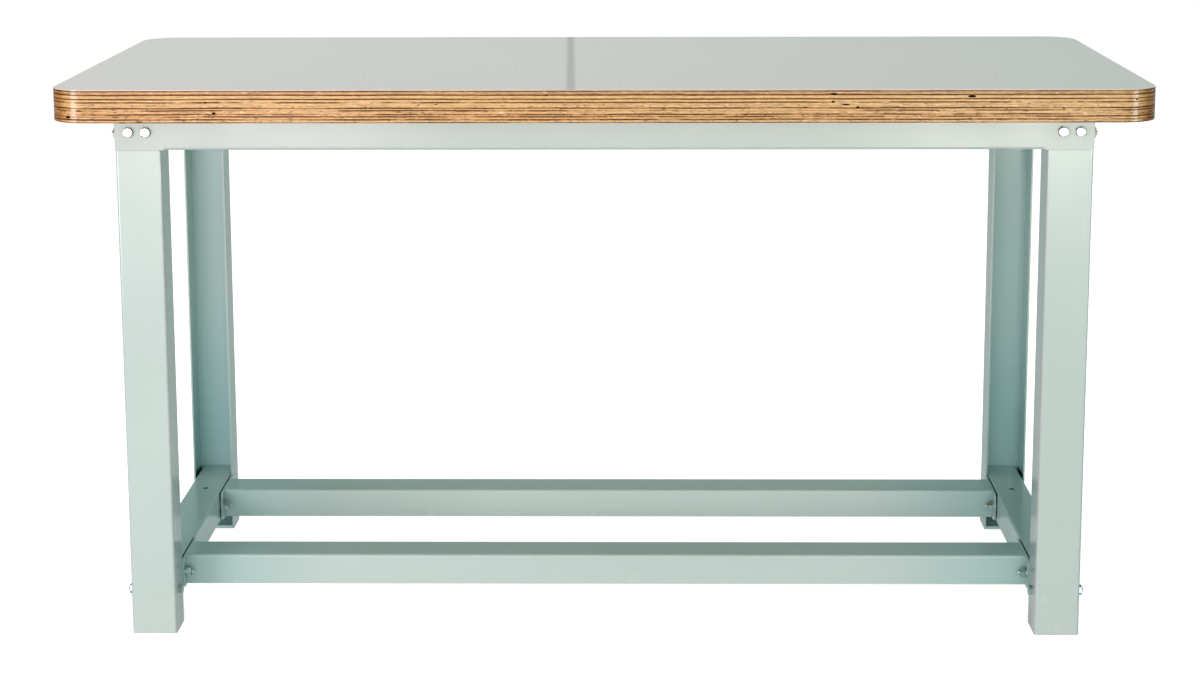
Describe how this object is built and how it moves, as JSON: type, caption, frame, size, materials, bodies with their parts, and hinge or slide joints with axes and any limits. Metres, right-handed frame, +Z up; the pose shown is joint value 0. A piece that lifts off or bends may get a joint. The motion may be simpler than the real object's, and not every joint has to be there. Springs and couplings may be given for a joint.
{
  "type": "modular workbench",
  "caption": "Workbench with a thick laminated plywood top on a bolted frame of folded sheet steel channels, with low side and long stretchers.",
  "frame": {"origin": "on the floor, under the middle of the bench", "axes": "+X to the right along the worktop's long side, +Y to the back, +Z up"},
  "size_m": [1.5, 0.75, 0.79],
  "materials": {
    "plywood": "clear lacquered edge of thin plies, dark glue lines",
    "laminate": "smooth pale grey laminate, satin gloss",
    "painted_steel": "pale grey-green powder coat, semi gloss",
    "zinc": "bright zinc plate"
  },
  "bodies": {
    "root": {"worktop_core": "plywood", "worktop_laminate": "laminate", "leg_front_left": "painted_steel", "leg_front_right": "painted_steel", "leg_back_left": "painted_steel", "leg_back_right": "painted_steel", "foot_plate_front_left": "painted_steel", "foot_plate_front_right": "painted_steel", "foot_plate_back_left": "painted_steel", "foot_plate_back_right": "painted_steel", "top_rail_front": "painted_steel", "top_rail_back": "painted_steel", "top_rail_left": "painted_steel", "top_rail_right": "painted_steel", "side_stretcher_left": "painted_steel", "side_stretcher_right": "painted_steel", "long_stretcher_front": "painted_steel", "long_stretcher_back": "painted_steel", "end_plate_front_left": "painted_steel", "end_plate_front_right": "painted_steel", "end_plate_back_left": "painted_steel", "end_plate_back_right": "painted_steel", "rail_bolts": "zinc", "rail_washers": "zinc", "rail_nuts": "zinc", "leg_bolts": "zinc", "leg_bolt_washers": "zinc", "leg_bolt_nuts": "zinc", "leg_spacers": "zinc", "end_plate_bolts": "zinc", "end_plate_spacers": "zinc", "end_plate_washers": "zinc", "end_plate_nuts": "zinc", "worktop_screws": "zinc"}
  },
  "joints": []
}
